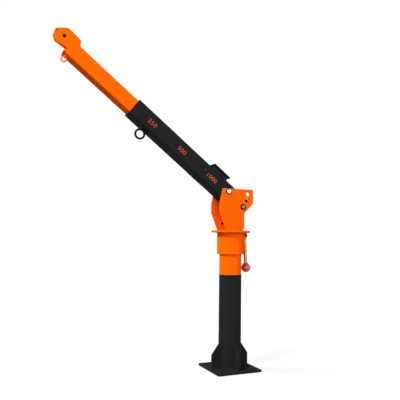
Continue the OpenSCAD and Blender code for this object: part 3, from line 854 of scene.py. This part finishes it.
class CRANE_OT_studio(bpy.types.Operator):
    """Sets the pale floor, the soft lamps and the camera"""

    bl_idname = "crane.studio"
    bl_label = "Floor, lamps and camera"

    def execute(self, context):
        scene = context.scene
        studio = scene.crane_studio
        scene.view_settings.view_transform = "Standard"
        self.floor(scene)
        self.world(scene)
        # Place, what it looks at, size in metres and power in watts. The key lights the boom from
        # beyond its tip, the front and fill lift the near faces, and the top and rim light what
        # faces up and back.
        lamps = {
            "key": ((-3.7, -1.7, 3.9), (-0.2, 0, 0.9), 1.2, 250),
            "front": ((-0.8, -3.8, 1.1), (0, 0, 0.9), 2.0, 60),
            "fill": ((2.5, -2.9, 1.9), (0, 0, 0.9), 2.0, 58),
            "top": ((-0.4, 0.4, 4.0), (-0.4, 0, 0.8), 2.0, 10),
            "rim": ((-3.2, 1.8, 4.0), (0, 0, 0.9), 1.6, 200),
        }
        for name, (place, target, size, power) in lamps.items():
            light = bpy.data.lights.new(f"{name}_lamp", "AREA")
            light.size = size
            light.energy = power
            lamp = bpy.data.objects.new(f"{name}_lamp", light)
            lamp.location = place
            aim = Matrix.Translation(place).inverted() @ Matrix.Translation(target)
            lamp.rotation_euler = aim.translation.to_track_quat("-Z", "Y").to_euler()
            scene.collection.objects.link(lamp)
        camera = bpy.data.objects.new("camera", bpy.data.cameras.new("camera"))
        camera.data.lens = studio.lens
        camera.matrix_world = (
            Matrix.Translation((
                studio.distance * math.sin(studio.azimuth),
                -studio.distance * math.cos(studio.azimuth),
                studio.height,
            ))
            @ Matrix.Rotation(studio.heading, 4, "Z")
            @ Matrix.Rotation(math.pi / 2 + studio.pitch, 4, "X")
            @ Matrix.Rotation(studio.roll, 4, "Z")
        )
        scene.collection.objects.link(camera)
        scene.camera = camera
        return {"FINISHED"}

    def floor(self, scene):
        """A round floor: point (i, q) is (r_i cos q, r_i sin q, 0), with r from 0 to 40 m."""
        turns = 48
        radii = np.concatenate([[0], np.geomspace(0.2, 40, 12)])[:, None]
        q = np.linspace(0, 2 * math.pi, turns, endpoint=False)
        points = np.stack(np.broadcast_arrays(radii * np.cos(q), radii * np.sin(q), 0.0), -1)
        mesh = bpy.data.meshes.new("floor")
        faces = grid_faces(len(radii), turns, False, True)
        mesh.from_pydata(points.reshape(-1, 3).tolist(), [], faces)
        material, tree, place = new_tree("pale_floor")
        seen = self.seen(tree)
        # The floor takes the shadow near the foot and fades into the white further off.
        away = add_node(tree, "ShaderNodeVectorMath", {0: place}, operation="LENGTH").outputs["Value"]
        fade = add_node(
            tree, "ShaderNodeMapRange",
            {"Value": away, "From Min": 0.3, "From Max": 1.4, "To Min": 0.79, "To Max": 1.0},
            interpolation_type="SMOOTHSTEP",
        ).outputs["Result"]
        strength = add_node(tree, "ShaderNodeMath", {0: seen, 1: fade}, operation="MULTIPLY").outputs[0]
        matt = add_node(tree, "ShaderNodeBsdfDiffuse", {"Color": (*scene.crane_finishes.floor, 1)})
        glow = add_node(tree, "ShaderNodeEmission", {"Color": (1, 1, 1, 1), "Strength": strength})
        both = add_node(tree, "ShaderNodeAddShader", {0: matt.outputs[0], 1: glow.outputs[0]})
        add_node(tree, "ShaderNodeOutputMaterial", {"Surface": both.outputs[0]})
        mesh.materials.append(material)
        floor = bpy.data.objects.new("floor", mesh)
        scene.collection.objects.link(floor)

    def world(self, scene):
        """A grey sky for the light, and white where the camera or a gloss sees it."""
        world = bpy.data.worlds.new("studio_sky")
        world.use_nodes = True
        tree = world.node_tree
        tree.nodes.clear()
        seen = self.seen(tree)
        strength = add_node(
            tree, "ShaderNodeMapRange",
            {"Value": seen, "From Min": 0.0, "From Max": 1.0, "To Min": 0.17, "To Max": 1.0},
        ).outputs["Result"]
        sky = add_node(tree, "ShaderNodeBackground", {"Color": (1, 1, 1, 1), "Strength": strength})
        add_node(tree, "ShaderNodeOutputWorld", {"Surface": sky.outputs[0]})
        scene.world = world

    def seen(self, tree):
        """1 for rays from the camera, a gloss or clear glass, and 0 for light."""
        path = add_node(tree, "ShaderNodeLightPath")
        first = add_node(
            tree, "ShaderNodeMath",
            {0: path.outputs["Is Camera Ray"], 1: path.outputs["Is Glossy Ray"]}, operation="MAXIMUM",
        ).outputs[0]
        return add_node(
            tree, "ShaderNodeMath",
            {0: first, 1: path.outputs["Is Transmission Ray"]}, operation="MAXIMUM",
        ).outputs[0]


class CRANE_PT_panel(bpy.types.Panel):
    """Lists the crane's settings and steps"""

    bl_label = "Crane"
    bl_space_type = "VIEW_3D"
    bl_region_type = "UI"
    bl_category = "Crane"

    def draw(self, context):
        for step in STEPS:
            self.layout.operator(step.bl_idname)
        for group in SETTINGS:
            box = self.layout.box()
            for key in SETTINGS[group].__annotations__:
                box.prop(getattr(context.scene, group), key)


SETTINGS = {
    "crane_finishes": CraneFinishes,
    "crane_welds": CraneWelds,
    "crane_details": CraneDetails,
    "crane_studio": CraneStudio,
}

STEPS = (
    CRANE_OT_studio, CRANE_OT_frame_finish, CRANE_OT_base_welds, CRANE_OT_head_welds,
    CRANE_OT_boom_welds, CRANE_OT_tip_welds, CRANE_OT_belly_plate, CRANE_OT_knob, CRANE_OT_threads,
    CRANE_OT_fittings, CRANE_OT_numbers,
)


def register():
    """Registers the settings, the steps and the panel."""
    for group, kind in SETTINGS.items():
        bpy.utils.register_class(kind)
        setattr(bpy.types.Scene, group, PointerProperty(type=kind))
    for kind in (*STEPS, CRANE_PT_panel):
        bpy.utils.register_class(kind)


def unregister():
    """Takes away what register made."""
    for kind in (CRANE_PT_panel, *reversed(STEPS)):
        bpy.utils.unregister_class(kind)
    for group, kind in reversed(SETTINGS.items()):
        delattr(bpy.types.Scene, group)
        bpy.utils.unregister_class(kind)


def main():
    """Makes the crane's looks."""
    register()
    for step in STEPS:
        group, name = step.bl_idname.split(".")
        getattr(getattr(bpy.ops, group), name)()


if __name__ == "__main__":
    main()
